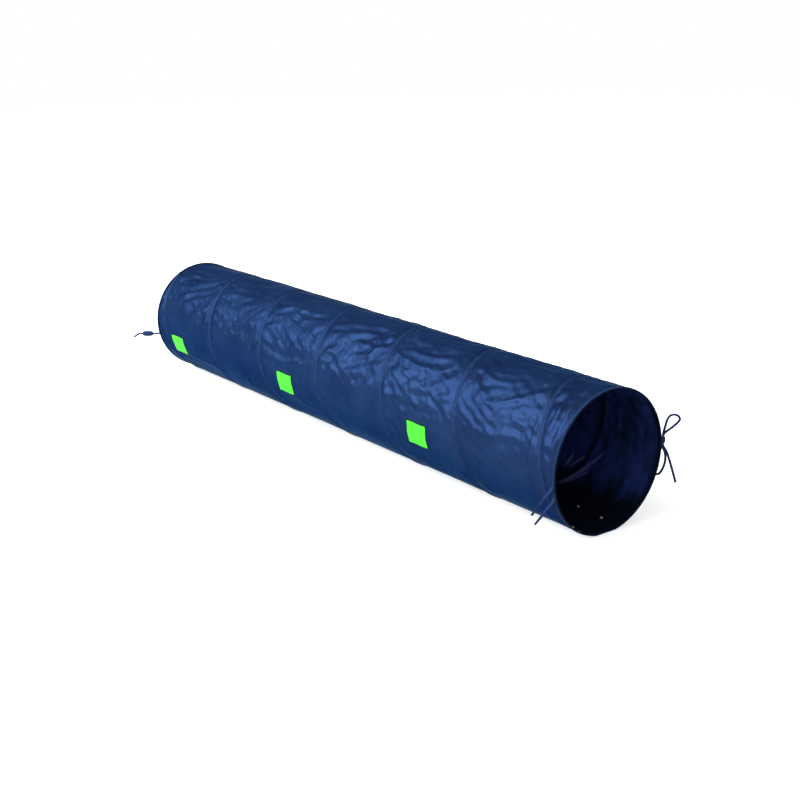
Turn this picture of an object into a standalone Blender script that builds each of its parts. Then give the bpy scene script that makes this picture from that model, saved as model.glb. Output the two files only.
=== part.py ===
"""A dog agility tunnel: a cloth tube held open by one long spiral spring of steel wire.

Units are metres. The tunnel lies along X on the ground plane Z = 0, with its near mouth at +X.
A place on it is given by `along`, the distance back from the near mouth, and by `angle`, which is
measured round the tube from the -Y side, up over the top, in degrees.
"""

import math

import bmesh
import bpy
from mathutils import Matrix, Vector

# Overall sizes
TUNNEL_LENGTH = 3.2
OUTER_RADIUS = 0.3
FLAT_ARC = 20.0  # degrees of the round that press flat on the ground
SIDES = 25  # the flat is one side, and the rest are equal

# Spring wire
WIRE_RADIUS = 0.0015
SPRING_PITCH = 0.505
SPRING_CORNER = 2  # which corner of the round the wire leaves the near ring at, counted from the flat
WIRE_FACETS = 6

# Cloth
CLEARANCE = 0.0003
SKIN_WALL = 0.001
SKIN_ROWS = (-0.013, 0.013, 0.14, 0.2525, 0.365)  # rows of points back from each turn of wire
SKIN_SAG = 0.006  # how far the cloth draws in halfway between two turns of wire
FOLD_DEPTH = 0.004
FOLD_PITCH = 0.21
FOLD_LEAN = 2.2  # how fast the folds turn round the tube as they run along it
SAG_ARC = 34.0  # degrees each side of the ground where the cloth lies flat
BAYS = 6

# Casing that is sewn over the spring
CASING_WIDTH = 0.022
CASING_WALL = 0.0008
CASING_SHOULDER = 0.0003  # how much wider than the wire's groove the casing's top is

# Binding and hem at each mouth
BINDING_WIDTH = 0.0132
BINDING_WALL = 0.0007
HEM_WIDTH = 0.052
HEM_WALL = 0.0008
HEM_MARGIN = 0.002  # past the hem the cloth starts to sag
CUT_DISTANCE = 1e-6
ANGLE_SLACK = 1e-6

# Crimp that joins the end of the spring to its ring
CRIMP_LENGTH = 0.022
CRIMP_WALL = 0.0006
CRIMP_FLAT = 0.8  # share of its half width that stays flat before its corner
CRIMP_EDGE = 0.4  # share of its half height that stays straight below its corner

# Reflective squares on the -Y side
PATCH_LENGTH = 0.135
PATCH_ARC = 21.5
PATCH_WALL = 0.0008
PATCH_PLACES = {2: ("near", 0.038, -9.5), 4: ("middle", 0.011, -12.0), 6: ("far", 0.045, -18.5)}
# for each bay: the name, how far back from the middle of the bay, and the angle

# Eyelets in the floor by the near mouth
EYELET_RADIUS = 0.008
EYELET_HOLE = 0.004
EYELET_HEIGHT = 0.0018
EYELET_SEGMENTS = 16
EYELET_PLACES = ((0.104, 1), (0.243, 1), (0.1, -1))  # distance along, side of the flat

# Ties of narrow tape
TAPE_WIDTH = 0.01
TAPE_THICKNESS = 0.0016
TAPE_STEP = 0.012
KNOT_CORNER = 0.005
BOW_KNOT_SIZE = (0.016, 0.022, 0.036)
BOW_CORNER = 18  # which corner of the round the bow hangs at, counted from the flat up the -Y side
BOW_SPACING = 0.004  # between tapes side by side at the knot
UPPER_TAIL_ANGLE = -6.0
LOWER_TAIL_ANGLE = -16.0
REAR_TIE_ANGLE = -13.0
REAR_TIE_TURN = 52.0  # degrees in plan from the tunnel's axis
REAR_KNOT_SIZE = (0.062, 0.018, 0.022)
REAR_KNOT_DROP = 0.004
REAR_STRAP = 0.034

# Smooth paths of the tapes from their first point, as (x, y, z)
UPPER_LOOP = (
    (0, 0, 0),
    (0, 0, 0.008),
    (0.004, 0.005, 0.04),
    (0.008, 0.01, 0.068),
    (0.015, 0.02, 0.084),
    (0.026, 0.034, 0.088),
    (0.035, 0.046, 0.081),
    (0.038, 0.05, 0.067),
    (0.032, 0.043, 0.053),
    (0.021, 0.029, 0.036),
    (0.005, 0.009, 0.015),
    (0, 0.005, 0.008),
    (0, 0.005, 0),
)
LOWER_LOOP = (
    (0, 0, 0),
    (0, 0, -0.008),
    (0.007, 0.009, -0.036),
    (0.009, 0.012, -0.066),
    (0.005, 0.007, -0.099),
    (-0.006, -0.002, -0.126),
    (-0.019, -0.007, -0.13),
    (-0.03, -0.005, -0.108),
    (-0.026, 0, -0.07),
    (-0.014, -0.002, -0.036),
    (0, -0.004, -0.008),
    (0, -0.004, 0),
)
BOW_TAIL = ((0, 0, 0), (0, 0, -0.008), (0.011, 0.013, -0.036), (0.023, 0.028, -0.09), (0.038, 0.046, -0.164))
UPPER_TAIL = (
    (0, 0, 0),
    (-0.008, -0.002, -0.02),
    (-0.03, -0.008, -0.05),
    (-0.055, -0.015, -0.09),
    (-0.085, -0.023, -0.139),
)
LOWER_TAIL = (
    (0, 0, 0),
    (-0.006, -0.003, -0.018),
    (-0.024, -0.01, -0.045),
    (-0.048, -0.018, -0.085),
    (-0.075, -0.024, -0.125),
)
REAR_TAIL = ((0, 0, 0), (-0.0049, -0.0063, 0), (-0.014, -0.018, -0.004), (-0.029, -0.038, -0.021))

# Sizes that follow
BAY_LENGTH = TUNNEL_LENGTH / BAYS
HALF_FLAT = FLAT_ARC / 2
SIDE_ARC = (360.0 - FLAT_ARC) / (SIDES - 1)
AXIS_HEIGHT = OUTER_RADIUS * math.cos(math.radians(HALF_FLAT))
FRONT = TUNNEL_LENGTH / 2
CRIMP_HALF_HEIGHT = WIRE_RADIUS + CLEARANCE + CRIMP_WALL
WIRE_PATH_RADIUS = OUTER_RADIUS - BINDING_WALL - CLEARANCE - CRIMP_HALF_HEIGHT
SKIN_RADIUS = WIRE_PATH_RADIUS - CRIMP_HALF_HEIGHT - CLEARANCE
RING_ALONG = BINDING_WALL + CLEARANCE + CRIMP_WALL + CLEARANCE + WIRE_RADIUS
WIRE_SPACING = 2 * WIRE_RADIUS + CLEARANCE
TAIL_ALONG = RING_ALONG + WIRE_SPACING
SPRING_START = -90.0 + HALF_FLAT + SPRING_CORNER * SIDE_ARC
SPRING_TURNS = (TUNNEL_LENGTH - 2 * TAIL_ALONG) / SPRING_PITCH
SPRING_END = SPRING_START + 360.0 * SPRING_TURNS

NAVY = (0.018, 0.045, 0.17, 1.0)
DARK_NAVY = (0.011, 0.026, 0.1, 1.0)
NEON_GREEN = (0.08, 0.95, 0.06, 1.0)
STEEL = (0.56, 0.57, 0.58, 1.0)
BRASS = (0.72, 0.66, 0.5, 1.0)
SMOOTH_ANGLE = 35.0  # degrees: flatter edges than this are shaded smooth


def clear_scene():
    for obj in list(bpy.data.objects):
        bpy.data.objects.remove(obj, do_unlink=True)


def material(name, colour, roughness, metallic=0.0):
    made = bpy.data.materials.get(name)
    if made is None:
        made = bpy.data.materials.new(name)
        made.use_nodes = True
        shader = made.node_tree.nodes["Principled BSDF"]
        shader.inputs["Base Color"].default_value = colour
        shader.inputs["Roughness"].default_value = roughness
        shader.inputs["Metallic"].default_value = metallic
    return made


# Places round the tube

def corner_angles(first, last):
    """The angles of the round's corners from first to last, with both ends, in degrees."""
    bottom = -90.0 + HALF_FLAT
    found = [first]
    turn = math.floor((first - bottom) / 360.0)
    while bottom + 360.0 * turn < last:
        for side in range(SIDES):
            angle = bottom + 360.0 * turn + side * SIDE_ARC
            if first + 0.01 < angle < last - 0.01:
                found.append(angle)
        turn += 1
    return found + [last]


def side_ends(angle):
    """The angles of the corners at both ends of the side that this angle falls on."""
    past = (angle + 90.0 - HALF_FLAT) % 360.0
    side = min(math.floor(past / SIDE_ARC + ANGLE_SLACK), SIDES - 1)
    start = angle - past + side * SIDE_ARC
    return start, start + (FLAT_ARC if side == SIDES - 1 else SIDE_ARC)


def side_reach(angle):
    """How far out a side lies at this angle, as a share of the radius at its corners."""
    start, end = side_ends(angle)
    half = math.radians((end - start) / 2)
    return math.cos(half) / math.cos(math.radians(angle - start) - half)


def place(along, angle, radius):
    """The point at that distance from the near mouth, on the flat-sided round of that radius."""
    reach = radius * side_reach(angle)
    turn = math.radians(angle)
    return Vector((FRONT - along, -reach * math.cos(turn), AXIS_HEIGHT + reach * math.sin(turn)))


def spring_along(angle):
    """How far back the spring has climbed at this angle, which runs on past 360 degrees."""
    climbed = SPRING_PITCH * (angle - SPRING_START) / 360.0
    return min(max(TAIL_ALONG + climbed, TAIL_ALONG), TUNNEL_LENGTH - TAIL_ALONG)


def spring_angle(along):
    """The angle at which the spring reaches that distance."""
    return SPRING_START + 360.0 * (along - TAIL_ALONG) / SPRING_PITCH


# Mesh helpers

def object_from(bm, name, finish, smooth=False):
    bmesh.ops.recalc_face_normals(bm, faces=bm.faces)
    mesh = bpy.data.meshes.new(name)
    bm.to_mesh(mesh)
    bm.free()
    if smooth:
        mesh.shade_smooth()
        mesh.set_sharp_from_angle(angle=math.radians(SMOOTH_ANGLE))
    obj = bpy.data.objects.new(name, mesh)
    bpy.context.scene.collection.objects.link(obj)
    obj.data.materials.append(finish)
    return obj


def joined_rings(bm, rings, ring_closed, path_closed):
    """Faces between rings of points, each ring joined to the next."""
    made = [[bm.verts.new(point) for point in ring] for ring in rings]
    count = len(made[0])
    steps = len(made) if path_closed else len(made) - 1
    for step in range(steps):
        here, after = made[step], made[(step + 1) % len(made)]
        for i in range(count if ring_closed else count - 1):
            j = (i + 1) % count
            bm.faces.new((here[i], here[j], after[j], after[i]))
    if not path_closed:
        bm.faces.new(made[0])
        bm.faces.new(made[-1])
    return made


def sweep_round(name, stations, profile, finish, closed=False):
    """A profile of (back, out) offsets carried round the tube through (along, angle, radius) stations."""
    bm = bmesh.new()
    rings = [
        [place(along + back, angle, radius + out) for back, out in profile]
        for along, angle, radius in stations
    ]
    joined_rings(bm, rings, True, closed)
    return object_from(bm, name, finish, smooth=True)


def closed_stations(along, radius):
    """Stations for a full ring round the tube."""
    first = -90.0 + HALF_FLAT
    return [(along, angle, radius) for angle in corner_angles(first, first + 360.0)[:-1]]


def mirrored(profile, back):
    """The profile turned end for end, for the far mouth, so that it keeps its way round."""
    return [(-b, out) for b, out in reversed(profile)] if back else profile


# Spring

def wire_profile():
    step = 2 * math.pi / WIRE_FACETS
    return [
        (WIRE_RADIUS * math.cos(i * step), WIRE_RADIUS * math.sin(i * step))
        for i in range(WIRE_FACETS)
    ]


def crimp_sides():
    """The ends of the side that the crimp lies along, at the near mouth and at the far one."""
    before = side_ends(SPRING_START - SIDE_ARC / 2)
    after = side_ends(side_ends(SPRING_END)[1])
    return before, after


def bay_ends(bay):
    """The spring's angles where this bay, counted from 1 at the near mouth, starts and ends."""
    gap = math.degrees(CLEARANCE / OUTER_RADIUS)
    before, after = crimp_sides()
    first = before[0] if bay == 1 else spring_angle((bay - 1) * BAY_LENGTH) + gap
    last = after[1] if bay == BAYS else spring_angle(bay * BAY_LENGTH)
    return first, last


def add_spring():
    steel = material("spring_steel", STEEL, 0.35, 1.0)
    for side, along in (("front", RING_ALONG), ("rear", TUNNEL_LENGTH - RING_ALONG)):
        stations = closed_stations(along, WIRE_PATH_RADIUS)
        sweep_round(side + "_ring", stations, wire_profile(), steel, closed=True)
    for bay in range(1, BAYS + 1):
        first, last = bay_ends(bay)
        stations = [
            (spring_along(angle), angle, WIRE_PATH_RADIUS) for angle in corner_angles(first, last)
        ]
        sweep_round(f"spring_turn_{bay}", stations, wire_profile(), steel)


def add_crimps():
    """A flat sleeve at each mouth, squeezed over the ring and the end of the spring beside it."""
    steel = material("crimp_steel", STEEL, 0.45, 1.0)
    pair_width = WIRE_SPACING + 2 * WIRE_RADIUS
    shape = [(-1, -CRIMP_EDGE), (-CRIMP_FLAT, -1), (CRIMP_FLAT, -1), (1, -CRIMP_EDGE)]
    shape += [(-x, -z) for x, z in shape]
    inner = [(x * (pair_width / 2 + CLEARANCE), z * (WIRE_RADIUS + CLEARANCE)) for x, z in shape]
    outer_x = (pair_width / 2 + CLEARANCE + CRIMP_WALL) / (pair_width / 2 + CLEARANCE)
    outer_z = CRIMP_HALF_HEIGHT / (WIRE_RADIUS + CLEARANCE)
    before, after = crimp_sides()
    ends = (
        ("front", before, (RING_ALONG + TAIL_ALONG) / 2),
        ("rear", after, TUNNEL_LENGTH - (RING_ALONG + TAIL_ALONG) / 2),
    )
    for side, (start, end), along in ends:
        middle = place(along, (start + end) / 2, WIRE_PATH_RADIUS)
        run = (middle - place(along, start, WIRE_PATH_RADIUS)).normalized()
        back = Vector((-1, 0, 0))
        out = run.cross(back)
        bm = bmesh.new()
        rings = []
        for half, shape_x, shape_z in (
            (-0.5, outer_x, outer_z),
            (0.5, outer_x, outer_z),
            (0.5, 1, 1),
            (-0.5, 1, 1),
        ):
            centre = middle + run * half * CRIMP_LENGTH
            rings.append([centre + back * x * shape_x + out * z * shape_z for x, z in inner])
        joined_rings(bm, rings, True, True)
        object_from(bm, side + "_crimp", steel)


# Casing

def casing_profile():
    half = CASING_WIDTH / 2
    base = SKIN_RADIUS + CLEARANCE - WIRE_PATH_RADIUS
    groove = WIRE_RADIUS + CLEARANCE
    top = groove + CASING_WALL
    shoulder = groove + CASING_WALL + CASING_SHOULDER
    return [
        (-half, base),
        (-half, base + CASING_WALL / 2),
        (-shoulder, top),
        (shoulder, top),
        (half, base + CASING_WALL / 2),
        (half, base),
        (groove, base),
        (groove, groove),
        (-groove, groove),
        (-groove, base),
    ]


def add_casing():
    cloth = material("casing_cloth", DARK_NAVY, 0.6)
    clear = BINDING_WIDTH + CLEARANCE + CASING_WIDTH / 2
    for bay in range(1, BAYS + 1):
        first, last = bay_ends(bay)
        first = max(first, spring_angle(clear))
        last = min(last, spring_angle(TUNNEL_LENGTH - clear))
        stations = [
            (spring_along(angle), angle, WIRE_PATH_RADIUS) for angle in corner_angles(first, last)
        ]
        sweep_round(f"casing_turn_{bay}", stations, casing_profile(), cloth)


# Cloth skin

def skin_draw(along, angle):
    """How far the cloth is drawn in from the spring's radius at this place."""
    first = TAIL_ALONG + SPRING_PITCH * ((angle - SPRING_START) % 360.0) / 360.0
    count = math.floor((along - first) / SPRING_PITCH)
    before = max(first + count * SPRING_PITCH, HEM_WIDTH + HEM_MARGIN)
    after = min(first + (count + 1) * SPRING_PITCH, TUNNEL_LENGTH - HEM_WIDTH - HEM_MARGIN)
    span = after - before
    if span <= 0 or not before < along < after:
        return 0.0
    share = (along - before) / span
    hang = 4 * share * (1 - share) * (span / SPRING_PITCH) ** 2
    from_ground = abs((angle + 90.0 + 180.0) % 360.0 - 180.0)
    free = min(max((from_ground - SAG_ARC) / SAG_ARC, 0.0), 1.0)
    wave = math.sin(2 * math.pi * along / FOLD_PITCH + FOLD_LEAN * math.radians(angle))
    return hang * free * (SKIN_SAG + FOLD_DEPTH * wave)


def skin_sheet():
    """The outside of the cloth as one sheet, with its rows of points running along the spring."""
    bm = bmesh.new()
    first = -90.0 + HALF_FLAT
    grid = []
    for angle in corner_angles(first, first + 360.0)[:-1]:
        crossing = TAIL_ALONG + SPRING_PITCH * (angle - SPRING_START) / 360.0
        column = []
        for turn in range(-2, int(SPRING_TURNS) + 3):
            for row in SKIN_ROWS:
                along = crossing + SPRING_PITCH * turn + row
                column.append(bm.verts.new(place(along, angle, SKIN_RADIUS)))
        grid.append(column)
    rows = len(grid[0])
    for i, column in enumerate(grid):
        # Past the last column the spring has gone round once, so rows meet those of its next turn.
        after = grid[(i + 1) % len(grid)]
        skip = len(SKIN_ROWS) if i == len(grid) - 1 else 0
        for j in range(rows - 1 - skip):
            bm.faces.new((column[j], column[j + 1], after[j + 1 + skip], after[j + skip]))
    for along in (HEM_WIDTH + HEM_MARGIN, TUNNEL_LENGTH - HEM_WIDTH - HEM_MARGIN):
        cut(bm, along, 1, False)
    return bm


def cut(bm, along, normal, clear):
    """Cuts the mesh across the tunnel, and clears what lies on the normal's side of the cut."""
    bmesh.ops.bisect_plane(
        bm,
        geom=list(bm.verts) + list(bm.edges) + list(bm.faces),
        dist=CUT_DISTANCE,
        plane_co=(FRONT - along, 0, 0),
        plane_no=(normal, 0, 0),
        clear_outer=clear,
    )


def draw_in(bm):
    """Moves each point of the sheet in towards the axis, by as much as the cloth sags there."""
    for vert in bm.verts:
        centre = Vector((vert.co.x, 0, AXIS_HEIGHT))
        away = vert.co - centre
        angle = math.degrees(math.atan2(away.z, -away.y))
        vert.co = centre + away * (1 - skin_draw(FRONT - vert.co.x, angle) / SKIN_RADIUS)


def thicken_inwards(bm, wall):
    """Gives the sheet a wall by drawing a copy of it in towards the axis, and closes its ends."""
    edges = [edge for edge in bm.edges if edge.is_boundary]
    faces = list(bm.faces)
    inner = {}
    for vert in list(bm.verts):
        centre = Vector((vert.co.x, 0, AXIS_HEIGHT))
        inner[vert] = bm.verts.new(centre + (vert.co - centre) * (1 - wall / SKIN_RADIUS))
    for face in faces:
        bm.faces.new([inner[vert] for vert in reversed(face.verts)])
    for edge in edges:
        a, b = edge.verts
        bm.faces.new((a, b, inner[b], inner[a]))


def add_skin():
    cloth = material("skin_cloth", NAVY, 0.5)
    whole = skin_sheet()
    for bay in range(1, BAYS + 1):
        bm = whole.copy()
        front_gap = BINDING_WALL + CLEARANCE if bay == 1 else CLEARANCE / 2
        rear_gap = BINDING_WALL + CLEARANCE if bay == BAYS else CLEARANCE / 2
        cut(bm, (bay - 1) * BAY_LENGTH + front_gap, 1, True)
        cut(bm, bay * BAY_LENGTH - rear_gap, -1, True)
        draw_in(bm)
        bmesh.ops.triangulate(bm, faces=bm.faces)
        if bay in PATCH_PLACES:
            name, back, angle = PATCH_PLACES[bay]
            add_reflector(bm, name, (bay - 0.5) * BAY_LENGTH + back, angle)
        thicken_inwards(bm, SKIN_WALL)
        object_from(bm, f"skin_bay_{bay}", cloth, smooth=True)
    whole.free()


def add_reflector(sheet, name, middle, angle):
    """A reflective square on the outside of the cloth, cut from the same sheet so that it lies flat on it."""
    bm = sheet.copy()
    cut(bm, middle - PATCH_LENGTH / 2, 1, True)
    cut(bm, middle + PATCH_LENGTH / 2, -1, True)
    for way in (1, -1):
        edge = math.radians(angle + way * PATCH_ARC / 2)
        bmesh.ops.bisect_plane(
            bm,
            geom=list(bm.verts) + list(bm.edges) + list(bm.faces),
            dist=CUT_DISTANCE,
            plane_co=(0, 0, AXIS_HEIGHT),
            plane_no=(0, way * math.sin(edge), way * math.cos(edge)),
            clear_outer=True,
        )
    for vert in bm.verts:
        centre = Vector((vert.co.x, 0, AXIS_HEIGHT))
        vert.co = centre + (vert.co - centre) * (1 + (CLEARANCE + PATCH_WALL) / SKIN_RADIUS)
    thicken_inwards(bm, PATCH_WALL)
    object_from(bm, "reflector_" + name, material("reflective_green", NEON_GREEN, 0.3))


# Mouths

def add_bindings():
    """The strip folded over the ring at each mouth. Its outer edge is what the tunnel stands on."""
    cloth = material("binding_cloth", DARK_NAVY, 0.6)
    inner_out = SKIN_RADIUS * (1 - SKIN_WALL / SKIN_RADIUS) - CLEARANCE
    profile = [
        (0, inner_out - BINDING_WALL),
        (0, OUTER_RADIUS),
        (BINDING_WIDTH, OUTER_RADIUS),
        (BINDING_WIDTH, OUTER_RADIUS - BINDING_WALL),
        (BINDING_WALL, OUTER_RADIUS - BINDING_WALL),
        (BINDING_WALL, inner_out),
        (BINDING_WIDTH, inner_out),
        (BINDING_WIDTH, inner_out - BINDING_WALL),
    ]
    for side, along, back in (("front", 0.0, False), ("rear", TUNNEL_LENGTH, True)):
        shape = mirrored(profile, back)
        sweep_round(side + "_binding", closed_stations(along, 0.0), shape, cloth, closed=True)


def add_hems():
    """The cloth turned in at each mouth, a second layer against the inside of the skin."""
    cloth = material("skin_cloth", NAVY, 0.5)
    top = SKIN_RADIUS - SKIN_WALL - CLEARANCE
    start = BINDING_WIDTH + CLEARANCE
    profile = [(start, top - HEM_WALL), (start, top), (HEM_WIDTH, top), (HEM_WIDTH, top - HEM_WALL)]
    for side, along, back in (("front", 0.0, False), ("rear", TUNNEL_LENGTH, True)):
        shape = mirrored(profile, back)
        sweep_round(side + "_hem", closed_stations(along, 0.0), shape, cloth, closed=True)


# Eyelets and ties

def add_eyelets():
    """Flanged rings on the two sides beside the flat one, on the inside of the cloth."""
    brass = material("eyelet_brass", BRASS, 0.35, 1.0)
    apothem = math.cos(math.radians(SIDE_ARC / 2))
    floor = (SKIN_RADIUS - SKIN_WALL - CLEARANCE) * apothem
    edge = EYELET_HEIGHT / 2
    profile = ((EYELET_RADIUS, 0), (EYELET_RADIUS, edge), (EYELET_HOLE, EYELET_HEIGHT), (EYELET_HOLE, 0))
    for number, (along, side) in enumerate(EYELET_PLACES, 1):
        turn = math.radians(-90.0 + side * (HALF_FLAT + SIDE_ARC / 2))
        out = Vector((0, -math.cos(turn), math.sin(turn)))
        back = Vector((-1, 0, 0))
        across = out.cross(back)
        middle = Vector((FRONT - along, 0, AXIS_HEIGHT)) + out * floor
        rings = []
        for step in range(EYELET_SEGMENTS):
            round_turn = 2 * math.pi * step / EYELET_SEGMENTS
            ray = back * math.cos(round_turn) + across * math.sin(round_turn)
            rings.append([middle + ray * reach - out * height for reach, height in profile])
        bm = bmesh.new()
        joined_rings(bm, rings, True, True)
        object_from(bm, f"eyelet_{number}", brass)


def side_normal(angle):
    """The way that the side at this angle faces."""
    turn = math.radians(sum(side_ends(angle)) / 2)
    return Vector((0, -math.cos(turn), math.sin(turn)))


def smooth_path(points):
    """Points a step apart on the smooth curve through these."""
    points = [Vector(point) for point in points]
    ends = [2 * points[0] - points[1]] + points + [2 * points[-1] - points[-2]]
    found = [points[0]]
    for before, here, after, beyond in zip(ends, ends[1:], ends[2:], ends[3:]):
        count = max(1, round((after - here).length / TAPE_STEP))
        for i in range(1, count + 1):
            t = i / count
            bend = (2 * before - 5 * here + 4 * after - beyond) * t ** 2
            bend += (3 * here - before - 3 * after + beyond) * t ** 3
            found.append(here + ((after - before) * t + bend) / 2)
    return found


def add_tape(name, first, offsets, wide):
    """A flat tape along a smooth path from its first point. It turns no more than the path makes it."""
    path = [first + offset for offset in smooth_path(offsets)]
    wide = Vector(wide)
    bm = bmesh.new()
    rings = []
    for i, point in enumerate(path):
        run = (path[min(i + 1, len(path) - 1)] - path[max(i - 1, 0)]).normalized()
        wide = (wide - run * run.dot(wide)).normalized()
        across = wide * TAPE_WIDTH / 2
        through = run.cross(wide) * TAPE_THICKNESS / 2
        upper = [point + across + through, point - across + through]
        lower = [point - across - through, point + across - through]
        rings.append(upper + lower)
    joined_rings(bm, rings, True, False)
    object_from(bm, name, material("tape_cloth", DARK_NAVY, 0.6))


def add_knot(name, middle, size, turn):
    bm = bmesh.new()
    bmesh.ops.create_cube(bm, size=1.0)
    bmesh.ops.scale(bm, vec=size, verts=bm.verts)
    bmesh.ops.bevel(bm, geom=bm.edges, offset=KNOT_CORNER, segments=2, profile=0.5, affect="EDGES")
    bmesh.ops.rotate(bm, matrix=Matrix.Rotation(turn, 3, "Z"), verts=bm.verts)
    bmesh.ops.translate(bm, vec=middle, verts=bm.verts)
    object_from(bm, name, material("tape_cloth", DARK_NAVY, 0.6))


def add_front_bow():
    """A bow at the right of the near mouth: a knot against the binding, two loops and a long tail."""
    corner = place(BINDING_WIDTH / 2, -90.0 + HALF_FLAT + BOW_CORNER * SIDE_ARC, OUTER_RADIUS)
    middle = corner + Vector((0, BOW_KNOT_SIZE[1] / 2 + CLEARANCE, 0))
    add_knot("front_bow_knot", middle, BOW_KNOT_SIZE, 0)
    end = Vector((0, 0, BOW_KNOT_SIZE[2] / 2 + CLEARANCE))
    beside = Vector((0, BOW_SPACING, 0))
    wide = (1, 0, 0)
    add_tape("front_bow_upper_loop", middle + end, UPPER_LOOP, wide)
    add_tape("front_bow_lower_loop", middle - end, LOWER_LOOP, wide)
    add_tape("front_bow_tail", middle - end + beside, BOW_TAIL, wide)


def add_front_tails():
    """Two tails of tape that hang from the binding at the left of the near mouth."""
    tails = (("upper", UPPER_TAIL_ANGLE, UPPER_TAIL), ("lower", LOWER_TAIL_ANGLE, LOWER_TAIL))
    for name, angle, offsets in tails:
        off = side_normal(angle) * (2 * CLEARANCE + TAPE_THICKNESS / 2)
        first = place(BINDING_WIDTH / 2, angle, OUTER_RADIUS) + off
        add_tape(f"front_{name}_tail", first, offsets, (1, 0, 0))


def add_rear_tie():
    """A strap, a thick knot and a short tail that stand out at the left of the far mouth."""
    off = side_normal(REAR_TIE_ANGLE)
    first = place(TUNNEL_LENGTH - BINDING_WIDTH / 2, REAR_TIE_ANGLE, OUTER_RADIUS) + off * CLEARANCE
    turn = math.radians(REAR_TIE_TURN)
    lean = Vector((-math.cos(turn), -math.sin(turn), 0))
    half = REAR_KNOT_SIZE[0] / 2 + CLEARANCE
    middle = first + lean * (REAR_STRAP + half) - Vector((0, 0, REAR_KNOT_DROP))
    add_knot("rear_tie_knot", middle, REAR_KNOT_SIZE, turn)
    reach = middle - lean * half - first
    strap = (Vector((0, 0, 0)), off * REAR_STRAP / 4, reach - lean * REAR_STRAP / 3, reach)
    add_tape("rear_tie_strap", first, strap, (0, 0, 1))
    add_tape("rear_tie_tail", middle + lean * half, REAR_TAIL, (0, 0, 1))


def build():
    clear_scene()
    add_spring()
    add_crimps()
    add_casing()
    add_skin()
    add_bindings()
    add_hems()
    add_eyelets()
    add_front_bow()
    add_front_tails()
    add_rear_tie()


build()
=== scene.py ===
"""A dog agility tunnel of thin navy cloth, held open by one long spiral spring, on a plain pale floor."""

import math

import bmesh
import bpy
import numpy as np
from mathutils import Matrix, Vector


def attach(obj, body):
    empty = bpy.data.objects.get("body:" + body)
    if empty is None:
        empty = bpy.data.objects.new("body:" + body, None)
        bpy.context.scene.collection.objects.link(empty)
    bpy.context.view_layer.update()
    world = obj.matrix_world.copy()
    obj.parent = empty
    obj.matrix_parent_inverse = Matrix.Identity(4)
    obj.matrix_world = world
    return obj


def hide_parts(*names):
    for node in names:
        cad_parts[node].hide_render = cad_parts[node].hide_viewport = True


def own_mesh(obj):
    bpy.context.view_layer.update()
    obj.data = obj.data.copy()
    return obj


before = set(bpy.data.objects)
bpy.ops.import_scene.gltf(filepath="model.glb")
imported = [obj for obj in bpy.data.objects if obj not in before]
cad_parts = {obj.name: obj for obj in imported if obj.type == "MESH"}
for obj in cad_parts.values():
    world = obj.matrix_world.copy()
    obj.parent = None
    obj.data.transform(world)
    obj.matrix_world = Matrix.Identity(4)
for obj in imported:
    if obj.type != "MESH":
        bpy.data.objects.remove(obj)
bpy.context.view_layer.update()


# The view
# The camera stands off one side of the near mouth, a little above a standing person's head, and looks down
# along the tunnel, so that one side, the top and the inside of the near mouth show.

CAMERA_PLACE = (4.733, -3.436, 1.949)
CAMERA_PITCH = -17.01
CAMERA_HEADING = 52.43
CAMERA_LENS = 56.5

bpy.ops.object.camera_add(
    location=CAMERA_PLACE,
    rotation=(math.radians(90 + CAMERA_PITCH), 0, math.radians(CAMERA_HEADING)),
)
camera = bpy.context.object
camera.name = "camera"
camera.data.lens = CAMERA_LENS
camera.data.clip_end = 200
bpy.context.scene.camera = camera


# The bow at the near mouth
# A flat woven tape, 10 mm wide, knotted against the binding at the right of the near mouth. It has a loop
# that stands up, a loop that hangs against the rim and one long tail.

TUNNEL_LENGTH = 3.2
FRONT = TUNNEL_LENGTH / 2
TUBE_RADIUS = 0.3
HALF_FLAT = 10.0
AXIS_HEIGHT = TUBE_RADIUS * math.cos(math.radians(HALF_FLAT))
BINDING_WIDTH = 0.0132
CLEARANCE = 0.0003
TAPE_WIDTH = 0.01
TAPE_WALL = 0.0008
TAPE_STEP = 0.004
TAPE_CURL = 0.0006
BOW_KNOT_SIZE = (0.016, 0.022, 0.036)
BOW_ANGLE = 175.0
BOW_SPACING = 0.004
UPPER_LOOP = (
    (0, 0, 0),
    (0, 0, 0.008),
    (0.004, 0.005, 0.04),
    (0.008, 0.01, 0.068),
    (0.015, 0.02, 0.084),
    (0.026, 0.034, 0.088),
    (0.035, 0.046, 0.081),
    (0.038, 0.05, 0.067),
    (0.032, 0.043, 0.053),
    (0.021, 0.029, 0.036),
    (0.005, 0.009, 0.015),
    (0, 0.005, 0.008),
    (0, 0.005, 0),
)
LOWER_LOOP = (
    (0, 0, 0),
    (0, 0, -0.008),
    (0.007, 0.009, -0.036),
    (0.009, 0.012, -0.066),
    (0.005, 0.007, -0.099),
    (-0.006, -0.002, -0.126),
    (-0.019, -0.007, -0.13),
    (-0.03, -0.005, -0.108),
    (-0.026, 0, -0.07),
    (-0.014, -0.002, -0.036),
    (0, -0.004, -0.008),
    (0, -0.004, 0),
)
BOW_TAIL = ((0, 0, 0), (0, 0, -0.008), (0.011, 0.013, -0.036), (0.023, 0.028, -0.09), (0.038, 0.046, -0.164))


def place(along, angle, radius):
    """Points that far back from the near mouth. The angle runs from the -Y side up over the top."""
    turn = np.radians(angle)
    down = np.maximum(-np.sin(turn), math.cos(math.radians(HALF_FLAT)))
    reach = radius * math.cos(math.radians(HALF_FLAT)) / down
    ahead = FRONT - along + 0 * turn
    return np.stack([ahead, -reach * np.cos(turn), AXIS_HEIGHT + reach * np.sin(turn)], axis=-1)


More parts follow.
